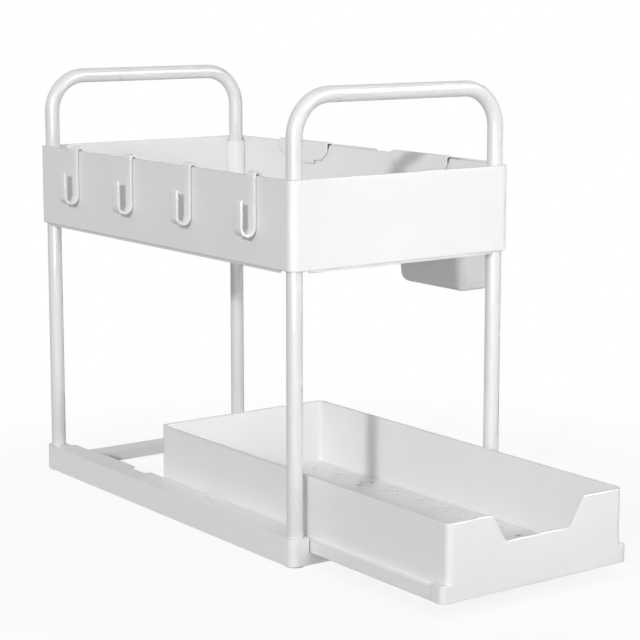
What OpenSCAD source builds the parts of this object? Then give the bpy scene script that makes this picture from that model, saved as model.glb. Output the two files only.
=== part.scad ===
// A two-tier pull-out organiser for a kitchen cabinet: a moulded base frame in which a
// drawer slides, four coated steel posts, a walled tray, two tube handles, four hooks and
// two cups that hang on the tray's walls. Millimetres, +Z up, the drawer pulls towards -Y,
// the hooks hang on the -X wall and the cups on the +X wall. The origin is on the shelf,
// under the middle of the whole object as it stands, with the drawer pulled out.

/* [Frame] */
// Outside width of the base and of the tray
frame_w = 222; // [205:1:300]
// Outside length of the base and of the tray
frame_l = 405; // [380:1:480]
// Radius of the upright corners of the base and of the tray
corner_r = 7; // [5:0.5:8.5]
// Height of the top of the handles above the shelf
overall_h = 378; // [360:1:460]

/* [Tubes] */
// Outside diameter of the posts and handles
tube_d = 13; // [11:0.5:14]
// Wall of the steel tube
tube_wall = 0.9; // [0.7:0.1:1.4]
// Distance from the outside of the frame to the axis of a tube
tube_inset = 9; // [9:0.5:12]
// Radius of the handle bends, on the axis of the tube
bend_r = 33; // [22:1:42]

/* [Base] */
// Height of the top of the base above the shelf
base_h = 23.5; // [22:0.1:30]
// Wall of the base
base_wall = 2; // [1.6:0.1:2.6]
// Thickness of the base's top skin and of the lips over the drawer
base_skin = 1.8; // [1.4:0.1:2.2]
// Width of each rail, from the outside to the drawer's channel
rail_w = 17.4; // [16:0.2:24]
// Width of the low crossbars at the front and rear
bar_w = 20; // [18:0.5:24]
// Length of each notch in the lips
notch_l = 27; // [16:1:40]
// Height by which the rubber feet stand below the base
foot_proud = 1.3; // [0.8:0.1:1.6]
// Diameter of a rubber foot
foot_d = 15; // [12:0.5:16]

/* [Drawer] */
// Outside length of the drawer
drawer_l = 396.6; // [340:0.2:400]
// Height of the drawer's rim above the shelf
drawer_top = 70.5; // [50:0.5:110]
// Wall of the drawer
drawer_wall = 2; // [1.6:0.1:2.4]
// Width of the runner flange on each side
flange_w = 5.5; // [5:0.5:8]
// Height of the runner flanges
flange_h = 9.7; // [8:0.1:9.9]
// Length of the taller skirt at the front end of each flange
skirt_l = 13.2; // [10:0.2:16]
// Height of the skirt across the front
skirt_h = 13.4; // [10:0.2:16]
// How far the drawer is pulled out as the object stands
pulled_out = 162.7; // [0:0.1:240]
// How far the drawer travels from shut to its stop
travel = 250; // [200:5:300]
// Width of the grip notch at the drawer's rim
grip_w = 92; // [60:1:120]
// Depth of the grip notch
grip_d = 22; // [10:0.5:30]

/* [Tray] */
// Height of the handles above the tray's rim
handle_rise = 70.7; // [60:0.1:90]
// Height of the tray's walls
tray_h = 70.9; // [55:0.1:90]
// Wall of the tray
tray_wall = 2; // [1.6:0.1:2.4]
// Depth of the stiffening rim under the tray's floor
under_rim_h = 2.2; // [1:0.1:3]

/* [Hooks] */
// Distance from the front end of the tray to the first of the four hooks
hook_end = 52.5; // [40:0.5:60]
// Distance from the last hook to the rear end of the tray
hook_rear_end = 69; // [40:0.5:80]
// Width of a hook's strip
hook_w = 11; // [8:0.5:14]
// Thickness of a hook's strip
hook_t = 2.4; // [1.8:0.1:3]
// Gap inside the J of a hook
hook_gap = 10.2; // [7:0.1:12]
// Height of a hook from the tray's rim to its lowest point
hook_drop = 48; // [36:1:60]
// Height of the free leg of the J
hook_leg = 21; // [12:1:26]

/* [Cups] */
// Width of a cup at its rim, along the wall
cup_w = 94; // [60:1:96]
// Reach of a cup at its rim, outwards from the wall
cup_reach = 52; // [34:1:60]
// Height of a cup below the tray's rim
cup_drop = 117.5; // [70:0.5:130]
// Wall of a cup
cup_wall = 1.8; // [1.4:0.1:2.4]
// Clear distance between the two cups
cup_gap = 80; // [78:1:110]

/* [Hidden] */
$fn = 48;

// Overrun of every cut past the face that it leaves
over = 1;
// Running gap between the drawer and what it slides on, upwards and downwards
slide_gap = 0.3;
// Running gap between the drawer and the base at each side
side_gap = 0.6;
// Gap round a tube in its socket, on the radius
socket_gap = 0.15;
// Gap round a plug or joiner inside a tube, on the radius
plug_gap = 0.05;
// Gap between the tray's wall and what hangs on it
hang_gap = 0.4;

// Frame places
tube_x = frame_w / 2 - tube_inset;
tube_y = frame_l / 2 - tube_inset;
bore_d = tube_d - 2 * tube_wall;

// Base: the drawer rests on bars and ledges whose tops are at bar_top
bar_top = 10.8;
bar_y = frame_l / 2 - bar_w;
channel_x = frame_w / 2 - rail_w;
drawer_w = 2 * (channel_x - side_gap - flange_w);
lip_x = drawer_w / 2 + side_gap;
block_gap = 1;
block_x = channel_x + block_gap;
shut_gap = 0.5;
front_bay = skirt_l + shut_gap;
notch_shares = [-0.148, 0.157];
ledge_t = 2.2;
relief_l = 27;
relief_d = 2.5;
rail_cells = 8;
bar_cells = 5;
rib_t = 1.6;
foot_t = 2.4;
socket_floor = 2;
socket_z = foot_t + socket_floor;

// Post plugs and joiners
plug_head = 1.5;
plug_l = 14;
joiner_collar = 1.5;
joiner_l = 16;

// Tray: each corner socket has a web that rests on its post
tray_z = overall_h - handle_rise - tray_h;
web_z = tray_z + 0.45 * tray_h;
web_t = 3;
tray_top = tray_z + tray_h;
socket_d = tube_d + 4;
socket_below_rim = 4.5;
floor_t = 2;
under_rim_in = 1.2;
under_rim_t = 2;
under_cut_r = 11;

// Handles
handle_z = overall_h - tube_d / 2;
handle_foot_z = web_z + web_t + joiner_collar;

// Drawer
drawer_z = bar_top + slide_gap;
drawer_r = 5.8;
drawer_floor = 2;
skirt_r = 4.8;
skirt_side = 0.4;
drawer_front_y = -frame_l / 2 - pulled_out;
flange_t = 1.9;
flange_fillet = 1.8;
stop_h = 2.4;
stop_w = 14;
stop_ramp = 9;
stop_land = 3;
stop_x = 45;
grip_slope = 14;
grip_r = 3;

// Drain holes in groups of four, in rows along the drawer and the tray
drain_d = 5;
drain_r = 7;
drain_pitch = 35;
drain_edge = 20;
drain_side = 20;
drain_forward = 3;
drain_cols = 3;

// Hooks, counted from the front
hook_first_y = -frame_l / 2 + hook_end;
hook_pitch = (frame_l - hook_end - hook_rear_end) / 3;
hook_inner = 14;
hook_seat = 0.6;
hook_slack = 1;

// Cups
cup_r = 7;
cup_foot_r = 9;
cup_rim_below = 5.5;
cup_lean = 8.1;
cup_draft_y = 2.5;
cup_draft_x = 5;
cup_round = 32;
hanger_w = 78;
hanger_t = 2;
hanger_drop = 18.4;
hanger_step = 3.6;
hanger_foot_w = 36;
hanger_shoulder_w = 60;
hanger_r = 7;
cup_y = (cup_w + cup_gap) / 2;

// The whole object's middle, measured from the middle of the frame
hook_out = frame_w / 2 + hang_gap + 2 * hook_t + hook_gap;
cup_out = frame_w / 2 + hang_gap + cup_reach;
middle_x = (cup_out - hook_out) / 2;
middle_y = (frame_l / 2 + min(-frame_l / 2, drawer_front_y)) / 2;

// Points of a polygon whose corners are rounded, each with its own radius
function unit(v) = v / norm(v);
function corner_arc(a, b, c, r, n = 6) =
    r <= 0 ? [b] :
    let (u = unit(a - b), w = unit(c - b),
        half = acos(u * w) / 2,
        centre = b + unit(u + w) * r / sin(half),
        from = b + u * r / tan(half) - centre,
        to = b + w * r / tan(half) - centre,
        turn = cross(from, to) > 0 ? 1 : -1,
        sweep = turn * (180 - 2 * half))
    [for (i = [0:n]) let (t = sweep * i / n)
        centre + [from[0] * cos(t) - from[1] * sin(t), from[0] * sin(t) + from[1] * cos(t)]];
function rounded(pts, radii) =
    [for (i = [0:len(pts) - 1])
        each corner_arc(pts[(i + len(pts) - 1) % len(pts)], pts[i],
            pts[(i + 1) % len(pts)], radii[i])];

module in_place() {
    translate([-middle_x, -middle_y, 0]) children();
}

// A rectangle with round corners, its middle at the origin
module round_rect(w, l, r) {
    square([w - 2 * r, l], center = true);
    square([w, l - 2 * r], center = true);
    for (sx = [-1, 1], sy = [-1, 1])
        translate([sx * (w / 2 - r), sy * (l / 2 - r)]) circle(r = r);
}

module frame_outline(inset = 0) {
    round_rect(frame_w - 2 * inset, frame_l - 2 * inset, max(corner_r - inset, over));
}

module box_between(lo, hi) {
    translate(lo) cube(hi - lo);
}

// Groups of four round drain holes on a floor of size w by l, its middle at the origin
module drain_holes(w, l, depth) {
    rows = floor((l - 2 * drain_edge) / drain_pitch);
    span_x = w - 2 * drain_side;
    for (row = [0:rows], col = [0:drain_cols - 1], turn = [0:3])
        translate([(col / (drain_cols - 1) - 0.5) * span_x, (row - rows / 2) * drain_pitch, 0])
            rotate(90 * turn) translate([drain_r, 0, -over])
                cylinder(d = drain_d, h = depth + 2 * over);
}

module corner(sx, sy) {
    translate([sx * tube_x, sy * tube_y, 0]) children();
}

// Ledge on which the drawer's flange runs, moulded through the notch in the lip
module ledge(y) {
    reach = flange_w - 0.1 * flange_w;
    half = (notch_l - side_gap) / 2;
    for (s = [-1, 1]) {
        box_between([min(s * (channel_x - reach), s * (channel_x + base_wall / 2)),
            y - half, bar_top - ledge_t],
            [max(s * (channel_x - reach), s * (channel_x + base_wall / 2)), y + half, bar_top]);
        for (e = [-1, 1])
            translate([0, y + e * (half - rib_t) + rib_t / 2, 0]) rotate([90, 0, 0])
                linear_extrude(rib_t)
                    polygon([[s * (channel_x - reach), bar_top - ledge_t],
                        [s * (channel_x + base_wall / 2), bar_top - ledge_t],
                        [s * (channel_x + base_wall / 2), bar_top - ledge_t - reach],
                        [s * channel_x, bar_top - ledge_t - reach]]);
    }
}

module rail_cells_cut() {
    cell = (2 * bar_y - rib_t) / rail_cells;
    for (s = [-1, 1], i = [0:rail_cells - 1]) {
        mid = s * (frame_w / 2 - base_wall + channel_x + base_wall) / 2;
        wide = frame_w / 2 - channel_x - 2 * base_wall;
        translate([mid - wide / 2, -bar_y + rib_t + i * cell, -over])
            cube([wide, cell - rib_t, base_h - base_skin + over]);
    }
}

module bar_cells_cut() {
    cell = (2 * channel_x - rib_t) / bar_cells;
    deep = bar_w - 2 * base_wall;
    for (s = [-1, 1], i = [0:bar_cells - 1])
        translate([-channel_x + rib_t + i * cell,
            s * (frame_l / 2 - bar_w / 2) - deep / 2, -over])
            cube([cell - rib_t, deep, bar_top - base_skin + over]);
}

module base_frame() {
    color("whitesmoke") in_place() difference() {
        union() {
            difference() {
                translate([0, 0, foot_proud]) linear_extrude(base_h - foot_proud) frame_outline();
                // Drawer channel under the lips, open at both ends
                box_between([-channel_x, -frame_l / 2 - over, bar_top],
                    [channel_x, frame_l / 2 + over, base_h - base_skin]);
                // Opening between the lips
                box_between([-lip_x, -frame_l / 2 - over, bar_top],
                    [lip_x, frame_l / 2 + over, base_h + over]);
                // Openings between the corner blocks: the skirt shuts into the front one
                box_between([-block_x, -frame_l / 2 - over, bar_top],
                    [block_x, -frame_l / 2 + front_bay, base_h + over]);
                box_between([-block_x, bar_y, bar_top],
                    [block_x, frame_l / 2 + over, base_h + over]);
                // Opening between the bars, down to the shelf
                box_between([-channel_x, -bar_y, -over], [channel_x, bar_y, bar_top + over]);
                // Notches that show the ledges, and the relief at the rear of the lips
                for (share = notch_shares)
                    translate([0, share * frame_l, base_h])
                        cube([2 * channel_x, notch_l, 4 * base_skin], center = true);
                translate([0, bar_y - relief_l / 2, base_h])
                    cube([2 * (lip_x + relief_d), relief_l + over, 4 * base_skin], center = true);
                rail_cells_cut();
                bar_cells_cut();
            }
            for (share = notch_shares) ledge(share * frame_l);
        }
        for (sx = [-1, 1], sy = [-1, 1]) corner(sx, sy) {
            translate([0, 0, socket_z]) cylinder(d = tube_d + 2 * socket_gap, h = base_h);
            translate([0, 0, foot_proud - over])
                cylinder(d = foot_d + 2 * plug_gap, h = foot_t - foot_proud + over);
        }
    }
}

module foot(sx, sy) {
    color("gainsboro") in_place() corner(sx, sy) cylinder(d = foot_d, h = foot_t);
}

module post(sx, sy) {
    foot_z = socket_z + plug_head;
    color("white") in_place() corner(sx, sy) translate([0, 0, foot_z]) difference() {
        cylinder(d = tube_d, h = web_z - foot_z);
        translate([0, 0, -over]) cylinder(d = bore_d, h = web_z - foot_z + 2 * over);
    }
}

// Plastic plug in the lower end of a post, its head on the floor of the socket
module post_plug(sx, sy) {
    color("gainsboro") in_place() corner(sx, sy) translate([0, 0, socket_z]) {
        cylinder(d = tube_d, h = plug_head);
        cylinder(d = bore_d - 2 * plug_gap, h = plug_head + plug_l);
    }
}

// Plastic joiner through the web of a tray socket, from the post into the handle
module joiner(sx, sy) {
    color("gainsboro") in_place() corner(sx, sy) translate([0, 0, web_z + web_t]) {
        cylinder(d = tube_d, h = joiner_collar);
        translate([0, 0, -web_t - joiner_l])
            cylinder(d = bore_d - 2 * plug_gap, h = web_t + 2 * joiner_l + joiner_collar);
    }
}

module tray() {
    color("white") in_place() difference() {
        union() {
            difference() {
                translate([0, 0, tray_z]) linear_extrude(tray_h) frame_outline();
                translate([0, 0, tray_z + floor_t])
                    linear_extrude(tray_h) frame_outline(tray_wall);
            }
            for (sx = [-1, 1], sy = [-1, 1]) corner(sx, sy) translate([0, 0, tray_z])
                cylinder(d = socket_d, h = tray_h - socket_below_rim);
            // Rim under the floor, cut away round the posts
            translate([0, 0, tray_z - under_rim_h]) linear_extrude(under_rim_h + floor_t / 2)
                difference() {
                    frame_outline(under_rim_in);
                    frame_outline(under_rim_in + under_rim_t);
                    for (sx = [-1, 1], sy = [-1, 1])
                        translate([sx * tube_x, sy * tube_y]) circle(r = under_cut_r);
                }
        }
        for (sx = [-1, 1], sy = [-1, 1]) corner(sx, sy) {
            translate([0, 0, tray_z - over])
                cylinder(d = tube_d + 2 * socket_gap, h = web_z - tray_z + over);
            translate([0, 0, web_z + web_t])
                cylinder(d = tube_d + 2 * socket_gap, h = tray_h);
            translate([0, 0, web_z - over])
                cylinder(d = bore_d + 2 * plug_gap, h = web_t + 2 * over);
        }
        translate([0, 0, tray_z]) drain_holes(frame_w, frame_l, floor_t);
    }
}

// The axis of a handle as a round bar of diameter d, its open ends longer by extra
module handle_bar(d, extra) {
    half = tube_x - bend_r;
    leg = handle_z - bend_r - handle_foot_z;
    for (s = [-1, 1]) {
        translate([s * tube_x, 0, handle_foot_z - extra]) cylinder(d = d, h = leg + extra);
        translate([s * half, 0, handle_z - bend_r]) rotate([90, 0, 0])
            rotate([0, 0, s > 0 ? 0 : 90]) rotate_extrude(angle = 90)
                translate([bend_r, 0]) circle(d = d);
    }
    translate([-half, 0, handle_z]) rotate([0, 90, 0]) cylinder(d = d, h = 2 * half);
}

module handle(sy) {
    color("white") in_place() translate([0, sy * tube_y, 0]) difference() {
        handle_bar(tube_d, 0);
        handle_bar(bore_d, over);
    }
}

// Ramped stop under the drawer's floor, which meets the front bar at the end of the travel
module drawer_stop(s) {
    front_y = -bar_y + (travel - pulled_out) + slide_gap;
    translate([s * stop_x + stop_w / 2, 0, 0]) rotate([0, -90, 0]) linear_extrude(stop_w)
        polygon([[drawer_z + over, front_y], [drawer_z - stop_h, front_y],
            [drawer_z - stop_h, front_y + stop_land],
            [drawer_z, front_y + stop_land + stop_ramp],
            [drawer_z + over, front_y + stop_land + stop_ramp]]);
}

// Hollow fillet between a side wall and the top of its flange
module flange_fillet_strip(s) {
    foot = [drawer_w / 2, drawer_z + flange_h];
    translate([0, drawer_front_y + drawer_l - drawer_r, 0]) rotate([90, 0, 0])
        linear_extrude(drawer_l - drawer_r - skirt_l)
            polygon([[s * (foot[0] - drawer_wall / 2), foot[1] - flange_t / 2],
                [s * (foot[0] + flange_fillet), foot[1] - flange_t / 2],
                for (t = [0:18:90]) [s * (foot[0] + flange_fillet * (1 - sin(t))),
                    foot[1] + flange_fillet * (1 - cos(t))],
                [s * (foot[0] - drawer_wall / 2), foot[1] + flange_fillet]]);
}

module drawer() {
    mid_y = drawer_front_y + drawer_l / 2;
    body_h = drawer_top - drawer_z;
    skirt_w = drawer_w + 2 * (flange_w + skirt_side);
    half_top = grip_w / 2;
    half_low = grip_w / 2 - grip_slope;
    color("white") in_place() difference() {
        union() {
            translate([0, mid_y, drawer_z]) linear_extrude(body_h)
                round_rect(drawer_w, drawer_l, drawer_r);
            // Runner flanges: a step out of each wall that turns down
            translate([0, mid_y + skirt_l / 2, drawer_z]) linear_extrude(flange_h)
                square([drawer_w + 2 * flange_w, drawer_l - skirt_l], center = true);
            // Skirt across the front, a little wider and taller than the flanges
            translate([0, drawer_front_y, drawer_z]) linear_extrude(skirt_h)
                intersection() {
                    translate([0, skirt_w / 2]) round_rect(skirt_w, skirt_w, skirt_r);
                    translate([-skirt_w / 2, 0]) square([skirt_w, skirt_l]);
                }
            for (s = [-1, 1]) {
                flange_fillet_strip(s);
                drawer_stop(s);
            }
        }
        translate([0, mid_y, drawer_z + drawer_floor]) linear_extrude(body_h)
            round_rect(drawer_w - 2 * drawer_wall, drawer_l - 2 * drawer_wall,
                drawer_r - drawer_wall);
        // Groove under each flange, between the body and the turned-down edge
        for (s = [-1, 1])
            translate([s * (drawer_w + flange_w - drawer_wall) / 2, mid_y + skirt_l / 2,
                drawer_z + (flange_h - flange_t) / 2 - over / 2])
                cube([flange_w - drawer_wall, drawer_l - skirt_l - 2 * drawer_wall,
                    flange_h - flange_t + over], center = true);
        // Grip notch in the front
        translate([0, drawer_front_y + drawer_wall + over, drawer_top]) rotate([90, 0, 0])
            linear_extrude(drawer_wall + 2 * over)
                polygon(rounded([[-half_top, grip_d], [-half_top, 0], [-half_low, -grip_d],
                    [half_low, -grip_d], [half_top, 0], [half_top, grip_d]],
                    [0, grip_r, grip_r, grip_r, grip_r, 0]));
        translate([0, mid_y - drain_forward, drawer_z])
            drain_holes(drawer_w, drawer_l, drawer_floor);
    }
}

// Side view of a hook, drawn outwards from the tray's wall, at the height of its rim
module hook_profile() {
    bend = hook_gap / 2;
    low = -hook_drop + bend + hook_t;
    clip_in = (tray_wall + hook_slack) / 2 + hang_gap;
    clip_mid = hang_gap - clip_in;
    // Strip, bend and free leg of the J
    translate([hang_gap, low]) square([hook_t, -hook_seat - low]);
    translate([hang_gap + hook_t + bend, low]) difference() {
        circle(r = bend + hook_t);
        circle(r = bend);
        translate([-2 * bend, 0]) square([4 * bend, 2 * bend]);
    }
    translate([hang_gap + hook_t + hook_gap, low]) square([hook_t, hook_leg]);
    translate([hang_gap + hook_t + hook_gap + hook_t / 2, low + hook_leg])
        circle(d = hook_t);
    // Clip over the rim
    translate([clip_mid, -hook_seat]) difference() {
        circle(r = clip_in + hook_t);
        circle(r = clip_in);
        translate([-2 * (clip_in + hook_t), -4 * clip_in])
            square([4 * (clip_in + hook_t), 4 * clip_in]);
    }
    translate([clip_mid - clip_in - hook_t, -hook_seat - hook_inner])
        square([hook_t, hook_inner]);
}

module hook(i) {
    color("white") in_place() translate([-frame_w / 2, hook_first_y + i * hook_pitch, tray_top])
        mirror([1, 0, 0]) rotate([90, 0, 0]) linear_extrude(hook_w, center = true)
            hook_profile();
}

// Tapered body of a cup, grown or shrunk by inset, outwards from the tray's wall
module cup_solid(inset, top) {
    low_w = cup_w - 2 * cup_draft_y;
    low_in = hang_gap + cup_lean;
    low_out = hang_gap + cup_reach - cup_draft_x;
    r = cup_r - inset;
    foot_r = cup_foot_r - inset;
    hull() {
        for (x = [hang_gap + cup_r, hang_gap + cup_reach - cup_r], s = [-1, 1]) {
            translate([x, s * (cup_w / 2 - cup_r), top])
                cylinder(r = r, h = over / 10, $fn = cup_round);
        }
        for (x = [low_in + cup_foot_r, low_out - cup_foot_r], s = [-1, 1])
            translate([x, s * (low_w / 2 - cup_foot_r), -cup_drop + cup_foot_r])
                sphere(r = foot_r, $fn = cup_round);
    }
}

module hanger_plate() {
    top = hang_gap + hanger_t;
    polygon(rounded([[-hanger_w / 2, top], [-hanger_w / 2, -hanger_r],
        [-hanger_shoulder_w / 2, -hanger_drop + hanger_step],
        [-hanger_foot_w / 2, -hanger_drop + hanger_step], [-hanger_foot_w / 2, -hanger_drop],
        [hanger_foot_w / 2, -hanger_drop], [hanger_foot_w / 2, -hanger_drop + hanger_step],
        [hanger_shoulder_w / 2, -hanger_drop + hanger_step],
        [hanger_w / 2, -hanger_r], [hanger_w / 2, top]],
        [0, hanger_r, hanger_r, 0, 0, 0, 0, hanger_r, hanger_r, 0]));
}

module cup(s) {
    top = hang_gap + hanger_t;
    color("white") in_place() translate([frame_w / 2, s * cup_y, tray_top]) {
        difference() {
            union() {
                cup_solid(0, -cup_rim_below);
                // Strip that rises from the cup's near wall to the rim
                translate([hang_gap, -hanger_w / 2, -cup_rim_below - cup_r])
                    cube([hanger_t, hanger_w, cup_rim_below + cup_r + top]);
            }
            cup_solid(cup_wall, 0);
        }
        // Bridge over the rim and the plate inside the tray
        translate([-tray_wall - hang_gap - hanger_t, -hanger_w / 2, hang_gap])
            cube([tray_wall + 2 * hang_gap + 2 * hanger_t, hanger_w, hanger_t]);
        translate([-tray_wall - hang_gap - hanger_t, 0, 0]) rotate([90, 0, 90])
            linear_extrude(hanger_t) hanger_plate();
    }
}

module foot_front_left() { foot(-1, -1); }
module foot_front_right() { foot(1, -1); }
module foot_rear_left() { foot(-1, 1); }
module foot_rear_right() { foot(1, 1); }
module post_front_left() { post(-1, -1); }
module post_front_right() { post(1, -1); }
module post_rear_left() { post(-1, 1); }
module post_rear_right() { post(1, 1); }
module post_plug_front_left() { post_plug(-1, -1); }
module post_plug_front_right() { post_plug(1, -1); }
module post_plug_rear_left() { post_plug(-1, 1); }
module post_plug_rear_right() { post_plug(1, 1); }
module joiner_front_left() { joiner(-1, -1); }
module joiner_front_right() { joiner(1, -1); }
module joiner_rear_left() { joiner(-1, 1); }
module joiner_rear_right() { joiner(1, 1); }
module front_handle() { handle(-1); }
module rear_handle() { handle(1); }
module hook_1() { hook(0); }
module hook_2() { hook(1); }
module hook_3() { hook(2); }
module hook_4() { hook(3); }
module front_cup() { cup(-1); }
module rear_cup() { cup(1); }

base_frame();
foot_front_left();
foot_front_right();
foot_rear_left();
foot_rear_right();
post_front_left();
post_front_right();
post_rear_left();
post_rear_right();
post_plug_front_left();
post_plug_front_right();
post_plug_rear_left();
post_plug_rear_right();
tray();
joiner_front_left();
joiner_front_right();
joiner_rear_left();
joiner_rear_right();
front_handle();
rear_handle();
drawer();
hook_1();
hook_2();
hook_3();
hook_4();
front_cup();
rear_cup();
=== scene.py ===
import math

import bmesh
import bpy
import numpy as np
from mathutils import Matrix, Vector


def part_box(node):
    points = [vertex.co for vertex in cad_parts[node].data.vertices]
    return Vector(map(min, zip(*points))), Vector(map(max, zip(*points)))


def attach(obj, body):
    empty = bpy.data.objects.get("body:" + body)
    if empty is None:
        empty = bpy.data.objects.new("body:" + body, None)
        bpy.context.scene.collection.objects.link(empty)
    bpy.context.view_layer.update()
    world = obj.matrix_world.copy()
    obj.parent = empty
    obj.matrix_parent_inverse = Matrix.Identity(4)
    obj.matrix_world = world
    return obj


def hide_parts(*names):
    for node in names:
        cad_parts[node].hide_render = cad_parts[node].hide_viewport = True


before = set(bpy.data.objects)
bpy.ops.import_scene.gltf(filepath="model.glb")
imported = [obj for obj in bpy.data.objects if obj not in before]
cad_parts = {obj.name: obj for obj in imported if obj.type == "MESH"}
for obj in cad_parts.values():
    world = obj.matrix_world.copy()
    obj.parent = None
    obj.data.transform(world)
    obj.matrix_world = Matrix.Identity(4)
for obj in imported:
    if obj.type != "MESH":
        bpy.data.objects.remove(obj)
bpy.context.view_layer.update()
print("frame loaded")


cameraView = {
    "place": (-0.97806, -1.32103, 0.45531),  # metres, from the perspective of the picture
    "heading": 36.119,  # degrees from +Y towards +X
    "pitch": 8.73,  # degrees below the horizon
    "lens": 108.85,
    "sensor": 36,
    "shiftY": -0.06,
    "farClip": 50,
}


def placeCamera(view):
    data = bpy.data.cameras.new("viewCamera")
    data.lens = view["lens"]
    data.sensor_width = view["sensor"]
    data.shift_y = view["shiftY"]
    data.clip_end = view["farClip"]
    camera = bpy.data.objects.new("viewCamera", data)
    camera.location = view["place"]
    camera.rotation_euler = (math.radians(90 - view["pitch"]), 0, math.radians(-view["heading"]))
    bpy.context.scene.collection.objects.link(camera)
    bpy.context.scene.camera = camera


placeCamera(cameraView)


def newGroup(name, inputs, outputs):
    group = bpy.data.node_groups.new(name, "ShaderNodeTree")
    for label, value in inputs:
        socket = group.interface.new_socket(label, in_out="INPUT", socket_type="NodeSocketFloat")
        socket.default_value = value
    for label, kind in outputs:
        group.interface.new_socket(label, in_out="OUTPUT", socket_type=kind)
    return group, group.nodes.new("NodeGroupInput"), group.nodes.new("NodeGroupOutput")


# Keys that start with in_ set the node's inputs, the others its own settings
def addNode(tree, kind, **values):
    node = tree.nodes.new(kind)
    for key, value in values.items():
        if key.startswith("in_"):
            node.inputs[key[3:].replace("_", " ")].default_value = value
        else:
            setattr(node, key, value)
    return node


# Fine spark-eroded grain of a moulded part: a height and a soft mottling mask
def makeGrainGroup():
    group, given, result = newGroup(
        "mouldGrain",
        [("Grain per metre", 2600.0), ("Mottle per metre", 34.0)],
        [("Height", "NodeSocketFloat"), ("Mottle", "NodeSocketFloat")],
    )
    place = addNode(group, "ShaderNodeTexCoord")
    fine = addNode(group, "ShaderNodeTexNoise", in_Detail=3.0, in_Roughness=0.6)
    broad = addNode(group, "ShaderNodeTexNoise", in_Detail=2.0, in_Roughness=0.5)
    group.links.new(place.outputs["Object"], fine.inputs["Vector"])
    group.links.new(place.outputs["Object"], broad.inputs["Vector"])
    group.links.new(given.outputs["Grain per metre"], fine.inputs["Scale"])
    group.links.new(given.outputs["Mottle per metre"], broad.inputs["Scale"])
    group.links.new(fine.outputs["Fac"], result.inputs["Height"])
    group.links.new(broad.outputs["Fac"], result.inputs["Mottle"])
    return group


# Slow waviness of a thin moulded wall
def makeRippleGroup():
    group, given, result = newGroup(
        "slowRipple", [("Ripples per metre", 60.0)], [("Height", "NodeSocketFloat")]
    )
    place = addNode(group, "ShaderNodeTexCoord")
    wave = addNode(group, "ShaderNodeTexNoise", in_Detail=1.0, in_Roughness=0.4)
    group.links.new(place.outputs["Object"], wave.inputs["Vector"])
    group.links.new(given.outputs["Ripples per metre"], wave.inputs["Scale"])
    group.links.new(wave.outputs["Fac"], result.inputs["Height"])
    return group


grainGroup = makeGrainGroup()
rippleGroup = makeRippleGroup()

easeSamples = 6  # of the Bevel node that eases sharp edges


# Base colour and roughness both wander about their mean with the grain group's mottle
def addWander(tree, shader, mottle, look):
    low, high = 1 - look["mottle"], 1 + look["mottle"]
    colour = addNode(tree, "ShaderNodeMix", data_type="RGBA")
    colour.inputs["A"].default_value = (*[c * low for c in look["colour"]], 1)
    colour.inputs["B"].default_value = (*[min(1, c * high) for c in look["colour"]], 1)
    rough = addNode(tree, "ShaderNodeMapRange")
    rough.inputs["To Min"].default_value = look["rough"] - look["spread"]
    rough.inputs["To Max"].default_value = look["rough"] + look["spread"]
    tree.links.new(mottle, colour.inputs["Factor"])
    tree.links.new(mottle, rough.inputs["Value"])
    tree.links.new(colour.outputs["Result"], shader.inputs["Base Color"])
    tree.links.new(rough.outputs["Result"], shader.inputs["Roughness"])


def addBump(tree, strength, distance, height, normal):
    bump = addNode(tree, "ShaderNodeBump", in_Strength=strength, in_Distance=distance)
    tree.links.new(normal, bump.inputs["Normal"])
    tree.links.new(height, bump.inputs["Height"])
    return bump


# Colour, mean roughness and how far it wanders, grains per metre and their strength in the
# bump, and the radius in metres over which edges are eased
finishes = {
    "basePlastic": dict(
        colour=(0.92, 0.92, 0.922), rough=0.34, spread=0.05, grain=2400.0, bump=0.05, edge=0.0008
    ),
    "drawerPlastic": dict(
        colour=(0.9, 0.9, 0.902), rough=0.34, spread=0.05, grain=2600.0, bump=0.05, edge=0.0013
    ),
    "trayPlastic": dict(
        colour=(0.9, 0.9, 0.902), rough=0.34, spread=0.05, grain=2600.0, bump=0.05, edge=0.0018
    ),
    "hookPlastic": dict(
        colour=(0.9, 0.9, 0.902), rough=0.3, spread=0.04, grain=3000.0, bump=0.03, edge=0.0002
    ),
    "cupPlastic": dict(
        colour=(0.9, 0.9, 0.902), rough=0.34, spread=0.05, grain=2600.0, bump=0.04, edge=0.0003
    ),
    "innerPlastic": dict(
        colour=(0.6, 0.6, 0.6), rough=0.5, spread=0.06, grain=2200.0, bump=0.06, edge=0.0004
    ),
    "footRubber": dict(
        colour=(0.78, 0.78, 0.785), rough=0.75, spread=0.08, grain=3400.0, bump=0.12, edge=0.0005
    ),
}
mouldSkin = dict(mottle=0.015, ior=1.49, wave=0.35, waveDepth=0.0004, grainDepth=0.0002)


# Moulded skin: colour mottled a little, grain over a slow wave in the bump, edges eased
def makePlastic(name, look):
    material = bpy.data.materials.new(name)
    material.use_nodes = True
    tree = material.node_tree
    shader = tree.nodes["Principled BSDF"]
    shader.inputs["IOR"].default_value = look["ior"]
    grain = addNode(tree, "ShaderNodeGroup", node_tree=grainGroup)
    grain.inputs["Grain per metre"].default_value = look["grain"]
    ripple = addNode(tree, "ShaderNodeGroup", node_tree=rippleGroup)
    addWander(tree, shader, grain.outputs["Mottle"], look)
    eased = addNode(tree, "ShaderNodeBevel", samples=easeSamples, in_Radius=look["edge"])
    slow = addBump(
        tree, look["wave"], look["waveDepth"], ripple.outputs["Height"], eased.outputs["Normal"]
    )
    fine = addBump(
        tree, look["bump"], look["grainDepth"], grain.outputs["Height"], slow.outputs["Normal"]
    )
    tree.links.new(fine.outputs["Normal"], shader.inputs["Normal"])
    return material


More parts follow.
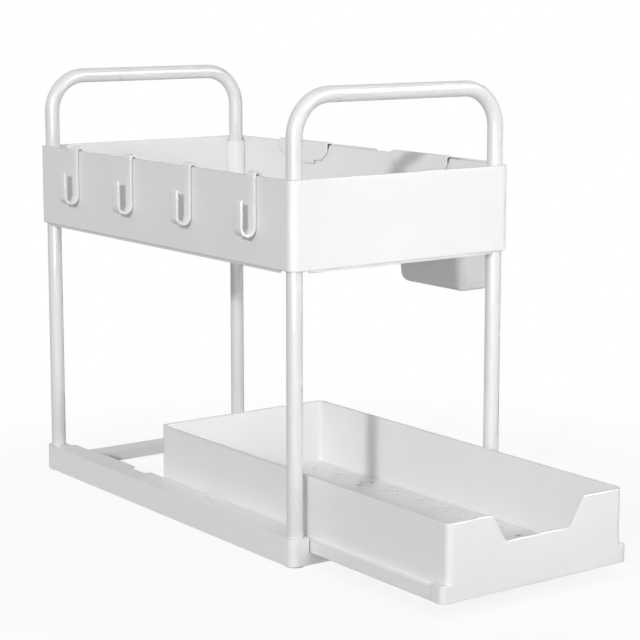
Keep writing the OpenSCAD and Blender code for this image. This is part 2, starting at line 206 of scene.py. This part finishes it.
coatLook = {
    "colour": (0.84, 0.84, 0.842),
    "mottle": 0.005,
    "rough": 0.28,
    "spread": 0.015,
    "gloss": 0.45,
    "glossRough": 0.1,
    "orangePeel": 420.0,  # per metre
    "peel": 0.05,
    "peelDepth": 0.0003,
    "edge": 0.0006,
}


# Powder coat on steel tube: orange peel in the bump under a thin clear gloss
def makeCoat(name, look):
    material = bpy.data.materials.new(name)
    material.use_nodes = True
    tree = material.node_tree
    shader = tree.nodes["Principled BSDF"]
    shader.inputs["Coat Weight"].default_value = look["gloss"]
    shader.inputs["Coat Roughness"].default_value = look["glossRough"]
    grain = addNode(tree, "ShaderNodeGroup", node_tree=grainGroup)
    grain.inputs["Grain per metre"].default_value = look["orangePeel"]
    addWander(tree, shader, grain.outputs["Mottle"], look)
    eased = addNode(tree, "ShaderNodeBevel", samples=easeSamples, in_Radius=look["edge"])
    peel = addBump(
        tree, look["peel"], look["peelDepth"], grain.outputs["Height"], eased.outputs["Normal"]
    )
    tree.links.new(peel.outputs["Normal"], shader.inputs["Normal"])
    return material


materials = {name: makePlastic(name, mouldSkin | look) for name, look in finishes.items()}
materials["coatedSteel"] = makeCoat("coatedSteel", coatLook)


def finishOf(node):
    if node.startswith("foot_"):
        return "footRubber"
    if "plug" in node or node.startswith("joiner"):
        return "innerPlastic"
    if node.startswith("post_") or node.endswith("_handle"):
        return "coatedSteel"
    return {"base_frame": "basePlastic", "drawer": "drawerPlastic", "tray": "trayPlastic"}.get(
        node, "hookPlastic" if node.startswith("hook") else "cupPlastic"
    )


for nodeName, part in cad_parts.items():
    material = materials[finishOf(nodeName)]
    if not part.material_slots:
        part.data.materials.append(material)
    for slot in part.material_slots:
        slot.material = material
print("materials assigned")


# Where the frame stands, in metres: the middle of its width, half its width and the tray's rim
frameSpot = {"middleX": -0.0185, "halfWidth": 0.111, "rim": 0.3073}


# Rows of points that each close into a ring, joined to the next row by four-sided faces. With
# loop the last row joins the first one; otherwise a fan closes the middle of each end ring
def ringMesh(name, rows, loop):
    count, around = rows.shape[:2]
    spans = count if loop else count - 1
    row, col = np.meshgrid(np.arange(spans), np.arange(around), indexing="ij")
    below, right = (row + 1) % count, (col + 1) % around
    faces = np.stack(
        [row * around + col, row * around + right, below * around + right, below * around + col], -1
    )
    points = rows.reshape(-1, 3)
    corners = faces.reshape(-1)
    sizes = np.full(faces.size // 4, 4)
    if not loop:
        step = np.arange(around)
        after = (step + 1) % around
        last = (count - 1) * around
        firstFan = np.stack([np.full(around, len(points)), after, step], -1)
        lastFan = np.stack([np.full(around, len(points) + 1), last + step, last + after], -1)
        points = np.concatenate([points, [rows[0].mean(0), rows[-1].mean(0)]])
        corners = np.concatenate([corners, firstFan.reshape(-1), lastFan.reshape(-1)])
        sizes = np.concatenate([sizes, np.full(2 * around, 3)])
    mesh = bpy.data.meshes.new(name)
    mesh.vertices.add(len(points))
    mesh.vertices.foreach_set("co", points.astype(np.float32).reshape(-1))
    mesh.loops.add(len(corners))
    mesh.loops.foreach_set("vertex_index", corners.astype(np.int32))
    mesh.polygons.add(len(sizes))
    starts = np.concatenate([[0], np.cumsum(sizes)[:-1]])
    mesh.polygons.foreach_set("loop_start", starts.astype(np.int32))
    mesh.polygons.foreach_set("loop_total", sizes.astype(np.int32))
    mesh.update(calc_edges=True)
    mesh.validate()
    shell = bmesh.new()
    shell.from_mesh(mesh)
    bmesh.ops.recalc_face_normals(shell, faces=shell.faces)
    shell.to_mesh(mesh)
    shell.free()
    mesh.polygons.foreach_set("use_smooth", np.ones(len(mesh.polygons), bool))
    return mesh


def placePiece(mesh, finish, body, node):
    mesh.materials.append(materials[finish])
    piece = bpy.data.objects.new(mesh.name, mesh)
    bpy.context.scene.collection.objects.link(piece)
    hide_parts(node)
    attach(piece, body)


def boxOf(node):
    return np.array(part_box(node)[0]), np.array(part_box(node)[1])


# Length along a line of points, from its first one
def lengthAlong(path):
    return np.concatenate([[0], np.cumsum(np.linalg.norm(np.diff(path, axis=0), axis=1))])


tubeForm = {
    "across": 0.013,
    "wall": 0.0009,
    "lip": 0.0004,  # rounding of the cut ends
    "lipAlong": (0, 0.3, 1),  # shares of the lip, from the cut
    "lipDrawn": (0.7, 0.2, 0),  # shares of the lip that the radius is drawn in there
    "bend": 0.033,  # radius of a handle's bends on the tube's axis
    "lead": 0.002,  # straight piece before a bend
    "around": 56,
    "bendSteps": 28,
    "postRows": 4,
}


# A bent tube: circles square to the path, radius across/2 on the way out and across/2 - wall on
# the way back, so that skin, cut ends and bore are one closed surface
def tubeMesh(name, path, form):
    run = lengthAlong(path)
    radius = form["across"] / 2
    along = np.array(form["lipAlong"]) * form["lip"]
    drawn = np.array(form["lipDrawn"]) * form["lip"]
    out = np.concatenate([along, run[1:-1], run[-1] - along[::-1]])
    grown = np.full(len(out), radius)
    grown[: len(drawn)] -= drawn
    grown[-len(drawn) :] -= drawn[::-1]
    stations = np.concatenate([out, out[::-1]])
    radii = np.concatenate([grown, np.full(len(out), radius - form["wall"])])
    spots = np.stack([np.interp(stations, run, path[:, k]) for k in range(3)], -1)
    slopes = np.gradient(path, run, axis=0)
    ahead = np.stack([np.interp(stations, run, slopes[:, k]) for k in range(3)], -1)
    ahead /= np.linalg.norm(ahead, axis=1, keepdims=True)
    side = np.array([0.0, 1.0, 0.0])
    up = np.cross(ahead, side)
    angle = np.linspace(0, 2 * np.pi, form["around"], endpoint=False)
    circle = np.cos(angle)[None, :, None] * side + np.sin(angle)[None, :, None] * up[:, None, :]
    return ringMesh(name, spots[:, None, :] + radii[:, None, None] * circle, True)


# The axis of a handle: up one leg, a quarter circle, the grip, a quarter circle, down the other leg
def handlePath(node, form):
    low, high = boxOf(node)
    radius, bend = form["across"] / 2, form["bend"]
    left, right, top = low[0] + radius, high[0] - radius, high[2] - radius
    turn = np.linspace(0, np.pi / 2, form["bendSteps"])
    inward, height = bend * (1 - np.cos(turn)), top - bend * (1 - np.sin(turn))
    rise = np.stack([left + inward, height], -1)
    fall = np.stack([right - inward, height], -1)[::-1]
    lead = top - bend - form["lead"]
    flat = np.concatenate(
        [[[left, low[2]], [left, lead]], rise, fall, [[right, lead], [right, low[2]]]]
    )
    return np.stack([flat[:, 0], np.full(len(flat), (low[1] + high[1]) / 2), flat[:, 1]], -1)


def postPath(node, form):
    low, high = boxOf(node)
    axis = np.tile((low + high) / 2, (form["postRows"], 1))
    axis[:, 2] = np.linspace(low[2], high[2], form["postRows"])
    return axis


for handle in ("front_handle", "rear_handle"):
    tube = tubeMesh(handle + "_tube", handlePath(handle, tubeForm), tubeForm)
    placePiece(tube, "coatedSteel", "frame", handle)
for corner in ("front_left", "front_right", "rear_left", "rear_right"):
    tube = tubeMesh("post_tube_" + corner, postPath("post_" + corner, tubeForm), tubeForm)
    placePiece(tube, "coatedSteel", "frame", "post_" + corner)
print("tubes made")


hookForm = {
    "width": 0.011,
    "thick": 0.0024,
    "gap": 0.0102,  # clear width inside the J
    "drop": 0.048,  # from the rim to the lowest point
    "leg": 0.021,
    "inner": 0.014,
    "seat": 0.0006,
    "clip": 0.0019,  # clear radius of the clip over the rim
    "offWall": 0.0004,
    "edge": 0.0007,
    "edgeSteps": 5,
    "bendSteps": 20,
    "tipTurn": 0.47,  # of half a circle
    "tipSteps": 7,
}


# Side line of a hook, outwards from the wall and up from the rim: inner leg up, half circle over
# the rim, strip down, half circle under, free leg up
def hookLine(form):
    half = form["thick"] / 2
    middle = form["offWall"] - form["clip"]
    over, under = form["clip"] + half, form["gap"] / 2 + half
    low = -form["drop"] + under + half
    turn = np.linspace(0, np.pi, form["bendSteps"])
    clip = np.stack([middle - over * np.cos(turn), -form["seat"] + over * np.sin(turn)], -1)
    bow = np.stack([middle + over + under * (1 - np.cos(turn)), low - under * np.sin(turn)], -1)
    start = [[middle - over, -form["seat"] - form["inner"]]]
    finish = [[middle + over + 2 * under, low + form["leg"] + half]]
    return np.concatenate([start, clip, bow, finish])


# A moulded strip: a rounded rectangle of width by thickness square to the side line, drawn in
# along nearly a quarter circle at both ends so that the tips are round
def hookMesh(name, centreY, form):
    line = hookLine(form)
    run = lengthAlong(line)
    half, wide, edge = form["thick"] / 2, form["width"] / 2, form["edge"]
    tip = np.linspace(0, form["tipTurn"] * np.pi, form["tipSteps"])
    reach = half * np.sin(tip)
    stations = np.concatenate([half - reach[::-1], run[1:-1], run[-1] - half + reach])
    shrink = np.concatenate([np.cos(tip)[::-1], np.ones(len(run) - 2), np.cos(tip)])
    x, z = np.interp(stations, run, line[:, 0]), np.interp(stations, run, line[:, 1])
    slope = np.gradient(line, run, axis=0)
    dx, dz = np.interp(stations, run, slope[:, 0]), np.interp(stations, run, slope[:, 1])
    size = np.hypot(dx, dz)
    across = np.stack([-dz / size, dx / size], -1)
    arc = np.linspace(0, np.pi / 2, form["edgeSteps"])
    signs = np.repeat([[1, 1], [-1, 1], [-1, -1], [1, -1]], len(arc), axis=0)
    sweep = np.concatenate([arc, arc[::-1], arc, arc[::-1]])
    sideways = signs[:, 0] * (wide - edge + edge * np.cos(sweep))
    outwards = signs[:, 1] * (half - edge + edge * np.sin(sweep))
    pull = half * (1 - shrink)
    y = sideways[None, :] - np.sign(sideways)[None, :] * pull[:, None]
    deep = outwards[None, :] * shrink[:, None]
    rows = np.stack([x[:, None] + across[:, :1] * deep, y, z[:, None] + across[:, 1:] * deep], -1)
    rows[..., 0] = frameSpot["middleX"] - frameSpot["halfWidth"] - rows[..., 0]
    rows[..., 1] += centreY
    rows[..., 2] += frameSpot["rim"]
    return ringMesh(name, rows, False)


for node in ("hook_1", "hook_2", "hook_3", "hook_4"):
    low, high = boxOf(node)
    strip = hookMesh(node + "_strip", (low[1] + high[1]) / 2, hookForm)
    placePiece(strip, "hookPlastic", node, node)
print("hooks made")


cupForm = {
    "wide": 0.094,
    "reach": 0.052,
    "drop": 0.1175,
    "wall": 0.0018,
    "offWall": 0.0004,
    "rimBelow": 0.0055,
    "lean": 0.0081,  # how far the near wall leans out by the foot
    "draftWide": 0.0025,
    "draftReach": 0.005,
    "cornerRim": 0.007,
    "cornerFoot": 0.009,
    "cornerLeast": 0.0002,  # radius that the corners keep where the foot is flat
    "cornerSteps": 11,
    "wallSteps": 14,
    "footSteps": 9,
    "lipSteps": 9,
}

# Line of the strip that hangs a cup on the rim, seen from its end, and the depth of its inner
# plate at each distance from its middle
hangerForm = {
    "thickOut": 0.002,
    "thickIn": 0.0013,
    "outX": 0.0014,
    "topZ": 0.0014,
    "inX": -0.00375,
    "foot": 0.0125,
    "turn": 0.0012,
    "turnSteps": 8,
    "at": (0, 0.0179, 0.0181, 0.027, 0.029, 0.031, 0.0335, 0.036, 0.0378, 0.0386, 0.039),
    "deep": (0.0184, 0.0184, 0.0148, 0.0148, 0.0143, 0.0132, 0.011, 0.0088, 0.007, 0.0059, 0.0046),
    "evenAt": np.linspace(-0.016, 0.016, 7),  # more places, over the deep middle
    "down": np.linspace(0.15, 1, 6),  # shares of the inner plate's depth
    "fromEnd": (0, 0.0003, 0.0008),
    "thinEnd": (0.35, 0.8, 1.0),  # share of the thickness that far from the end
    "tip": 0.6,  # how far the inner plate's edge bulges, as a share of half its thickness
}


# From the rim of the +X wall to the place of the frame
def toRim(rows, centreY):
    return rows + [frameSpot["middleX"] + frameSpot["halfWidth"], centreY, frameSpot["rim"]]


# Rounded rectangles, one in each row: four quarter circles of that row's radius about centres
# set in from the row's sides
def roundedRows(lowX, highX, halfY, radius, z, steps):
    arc = np.linspace(0, np.pi / 2, steps)
    angle = np.concatenate([arc + k * np.pi / 2 for k in range(4)])
    quarter = np.repeat(np.arange(4), steps)[None, :]
    ahead, behind = (highX - radius)[:, None], (lowX + radius)[:, None]
    centreX = np.where(np.isin(quarter, (0, 3)), ahead, behind)
    centreY = np.where(quarter < 2, 1, -1) * (halfY - radius)[:, None]
    x = centreX + radius[:, None] * np.cos(angle)
    y = centreY + radius[:, None] * np.sin(angle)
    return np.stack([x, y, np.broadcast_to(z[:, None], x.shape)], -1)


# Side lines of a cup's skin, from foot to rim, set in by inset: each size runs straight from rim
# to foot, then a quarter circle turns it under
def cupSkin(form, inset):
    side = np.linspace(1, 0, form["wallSteps"])  # 1 at the foot, 0 at the rim
    under = np.linspace(np.pi / 2, 0, form["footSteps"])[:-1]
    rimZ, footZ = -form["rimBelow"], -form["drop"] + form["cornerFoot"]
    corner = form["cornerRim"] + (form["cornerFoot"] - form["cornerRim"]) * side - inset
    lowX = form["offWall"] + form["lean"] * side + inset
    highX = form["offWall"] + form["reach"] - form["draftReach"] * side - inset
    halfY = form["wide"] / 2 - form["draftWide"] * side - inset
    turn = form["cornerFoot"] - inset
    draw = turn * (1 - np.cos(under))
    wallRows = (lowX, highX, halfY, corner, rimZ + (footZ - rimZ) * side)
    footRows = (
        lowX[0] + draw,
        highX[0] - draw,
        halfY[0] - draw,
        corner[0] - draw + form["cornerLeast"],
        footZ - turn * np.sin(under),
    )
    return [np.concatenate([foot, wall]) for foot, wall in zip(footRows, wallRows)]


# Cup wall: the outer skin up, a half circle round the rim, and the inner skin down. The rim's
# rows are lowered by the half circle's radius, so that its top is at the rim's height
def cupMesh(name, centreY, form):
    outer, inner = cupSkin(form, 0), cupSkin(form, form["wall"])
    half = form["wall"] / 2
    lip = np.linspace(0, np.pi, form["lipSteps"])[1:-1]
    shift = half - half * np.cos(lip)
    lowX, highX, halfY, corner, z = (line[-1] for line in outer)
    rim = (lowX + shift, highX - shift, halfY - shift, corner - shift, z + half * np.sin(lip))
    lines = [np.concatenate([a, b, c[::-1]]) for a, b, c in zip(outer, rim, inner)]
    lines[-1] = np.where(lines[-1] >= z, lines[-1] - half, lines[-1])
    return ringMesh(name, toRim(roundedRows(*lines, form["cornerSteps"]), centreY), False)


# Hanger: the line (up, over the rim, down to the depth of that place) thickened both ways by half
# its thickness, one closed ring for each place along the wall, the end rings thinner
def hangerMesh(name, centreY, form):
    at = np.array(form["at"])
    places = np.unique(np.concatenate([-at, at, form["evenAt"]]))
    deep = np.interp(np.abs(places), at, form["deep"])
    turn = np.linspace(0, np.pi / 2, form["turnSteps"])
    r, down, topZ = form["turn"], form["down"], form["topZ"]
    headX = [form["outX"] - r + r * np.cos(turn), form["inX"] + r - r * np.sin(turn)]
    bendZ = topZ - r + r * np.stack([np.sin(turn), np.cos(turn)])
    headZ = np.concatenate([[-form["foot"]], *bendZ])
    lineX = np.concatenate([[form["outX"]], *headX, np.full(len(down), form["inX"])])
    lineZ = np.concatenate(
        [
            np.broadcast_to(headZ, (len(places), len(headZ))),
            topZ - r + (-deep[:, None] - topZ + r) * down,
        ],
        axis=1,
    )
    lineX = np.broadcast_to(lineX, lineZ.shape)
    dx, dz = np.gradient(lineX, axis=1), np.gradient(lineZ, axis=1)
    size = np.hypot(dx, dz)
    thick = np.linspace(form["thickOut"], form["thickIn"], lineZ.shape[1])
    thin = np.interp(at[-1] - np.abs(places), form["fromEnd"], form["thinEnd"])
    off = thin[:, None] * thick / 2
    outX, outZ = lineX + dz / size * off, lineZ - dx / size * off
    inX, inZ = lineX - dz / size * off, lineZ + dx / size * off
    tipX, tipZ = lineX[:, -1:], lineZ[:, -1:] - off[:, -1:] * form["tip"]
    x = np.concatenate([outX, tipX, inX[:, ::-1]], axis=1)
    z = np.concatenate([outZ, tipZ, inZ[:, ::-1]], axis=1)
    y = np.broadcast_to(places[:, None], x.shape)
    return ringMesh(name, toRim(np.stack([x, y, z], -1), centreY), False)


for cup in ("front_cup", "rear_cup"):
    low, high = boxOf(cup)
    middleY = (low[1] + high[1]) / 2
    placePiece(cupMesh(cup + "_body", middleY, cupForm), "cupPlastic", cup, cup)
    hanger = hangerMesh(cup + "_hanger", middleY, hangerForm)
    placePiece(hanger, "cupPlastic", cup, cup)
print("cups made")


# Places and sizes in metres. glossOnly lamps show in gloss alone, dullOnly lamps never in gloss
roomLook = {
    "floorSize": 14.0,
    "floorColour": 0.5,
    "floorSeen": 0.97,  # the same floor as the camera sees it beside the object
    "floorRough": 0.8,
    "shadowSeen": 0.13,  # share of the floor's own shading that the camera sees beside the object
    "shadowFades": (0.28, 0.6),  # metres from the middle of the object
    "white": (1, 1, 1, 1),
    "whiteSeen": 1.0,
    "worldFill": 0.467,
    "key": dict(compass=52.5, height=19.0, blur=2.5, strength=1.24),
}
areaLamps = {
    "soft": dict(place=(-0.7, -1.9, 1.5), target=(0.0, -0.02, 0.18), size=1.2, watts=2.4),
    "front": dict(
        place=(0.1, -1.75, 0.26),
        target=(-0.02, -0.12, 0.29),
        size=0.5,
        watts=0.4,
        spread=30.5,
        dullOnly=True,
    ),
    "rear": dict(
        place=(1.5, 1.2, 0.85), target=(0.0, -0.02, 0.18), size=0.9, watts=6.5, dullOnly=True
    ),
    "cornerGlint": dict(
        place=(-1.25, -1.35, 0.35),
        target=(0.0, -0.02, 0.18),
        size=0.8,
        tall=1.3,
        watts=35.0,
        glossOnly=True,
    ),
    "tubeGlint": dict(
        place=(0.85, -1.55, 1.05),
        target=(0.0, -0.25, 0.25),
        size=1.2,
        tall=0.7,
        watts=21.0,
        glossOnly=True,
    ),
    "rimGlint": dict(
        place=(0.42, -0.62, 0.62),
        target=(0.0, -0.38, 0.1),
        size=0.3,
        tall=0.3,
        watts=3.0,
        spread=44.0,
        glossOnly=True,
    ),
}


# Pale floor: the camera sees a share of its own shading near the object and plain white beyond,
# and other rays meet a darker floor
def makeStageMaterial(look):
    material = bpy.data.materials.new("paleFloor")
    material.use_nodes = True
    tree = material.node_tree
    shader = tree.nodes["Principled BSDF"]
    shader.inputs["Roughness"].default_value = look["floorRough"]
    shader.inputs["Specular IOR Level"].default_value = 0.0
    tone = addNode(tree, "ShaderNodeMapRange")
    tone.inputs["To Min"].default_value = look["floorColour"]
    tone.inputs["To Max"].default_value = look["floorSeen"]
    white = addNode(
        tree, "ShaderNodeEmission", in_Color=look["white"], in_Strength=look["whiteSeen"]
    )
    path = addNode(tree, "ShaderNodeLightPath")
    spot = addNode(tree, "ShaderNodeTexCoord")
    away = addNode(tree, "ShaderNodeVectorMath", operation="LENGTH")
    fade = addNode(tree, "ShaderNodeMapRange", interpolation_type="SMOOTHSTEP")
    near, far = look["shadowFades"]
    fade.inputs["From Min"].default_value = near
    fade.inputs["From Max"].default_value = far
    fade.inputs["To Min"].default_value = 1 - look["shadowSeen"]
    share = addNode(tree, "ShaderNodeMath", operation="MULTIPLY")
    mix = addNode(tree, "ShaderNodeMixShader")
    tree.links.new(path.outputs["Is Camera Ray"], tone.inputs["Value"])
    tree.links.new(tone.outputs["Result"], shader.inputs["Base Color"])
    tree.links.new(spot.outputs["Object"], away.inputs[0])
    tree.links.new(away.outputs["Value"], fade.inputs["Value"])
    tree.links.new(path.outputs["Is Camera Ray"], share.inputs[0])
    tree.links.new(fade.outputs["Result"], share.inputs[1])
    tree.links.new(share.outputs[0], mix.inputs[0])
    tree.links.new(shader.outputs[0], mix.inputs[1])
    tree.links.new(white.outputs[0], mix.inputs[2])
    tree.links.new(mix.outputs[0], tree.nodes["Material Output"].inputs["Surface"])
    return material


def makeFloor(look):
    half = look["floorSize"] / 2
    mesh = bpy.data.meshes.new("floor")
    corners = [(-half, -half, 0), (half, -half, 0), (half, half, 0), (-half, half, 0)]
    mesh.from_pydata(corners, [], [(0, 1, 2, 3)])
    mesh.materials.append(makeStageMaterial(look))
    floor = bpy.data.objects.new("floor", mesh)
    bpy.context.scene.collection.objects.link(floor)


def makeWorld(look):
    world = bpy.data.worlds.new("studio")
    bpy.context.scene.world = world
    world.use_nodes = True
    tree = world.node_tree
    back = tree.nodes["Background"]
    back.inputs["Color"].default_value = look["white"]
    back.inputs["Strength"].default_value = look["worldFill"]
    seen = addNode(
        tree, "ShaderNodeBackground", in_Color=look["white"], in_Strength=look["whiteSeen"]
    )
    path = addNode(tree, "ShaderNodeLightPath")
    mix = addNode(tree, "ShaderNodeMixShader")
    tree.links.new(path.outputs["Is Camera Ray"], mix.inputs[0])
    tree.links.new(back.outputs[0], mix.inputs[1])
    tree.links.new(seen.outputs[0], mix.inputs[2])
    tree.links.new(mix.outputs[0], tree.nodes["World Output"].inputs["Surface"])


# Sharp light from the hook side: its compass angle is from the front towards the hooks
def addKeyLight(look):
    data = bpy.data.lights.new("keyLight", "SUN")
    data.angle = math.radians(look["blur"])
    data.energy = look["strength"]
    light = bpy.data.objects.new("keyLight", data)
    light.rotation_euler = (math.radians(90 - look["height"]), 0, -math.radians(look["compass"]))
    bpy.context.scene.collection.objects.link(light)


# A lamp with a height in "tall" is a rectangle, the others are discs
def addAreaLight(name, look):
    data = bpy.data.lights.new(name, "AREA")
    data.shape = "RECTANGLE" if "tall" in look else "DISK"
    data.size = look["size"]
    data.size_y = look.get("tall", look["size"])
    data.energy = look["watts"]
    data.spread = math.radians(look.get("spread", 180))
    light = bpy.data.objects.new(name, data)
    light.visible_diffuse = not look.get("glossOnly", False)
    light.visible_glossy = not look.get("dullOnly", False)
    light.location = look["place"]
    aim = np.array(look["target"]) - look["place"]
    flat = math.hypot(aim[0], aim[1])
    light.rotation_euler = (math.atan2(flat, -aim[2]), 0, math.atan2(-aim[0], aim[1]))
    bpy.context.scene.collection.objects.link(light)


makeFloor(roomLook)
makeWorld(roomLook)
addKeyLight(roomLook["key"])
for lampName, lamp in areaLamps.items():
    addAreaLight(lampName + "Light", lamp)
bpy.context.scene.view_settings.view_transform = "Standard"
print("stage and lights placed")
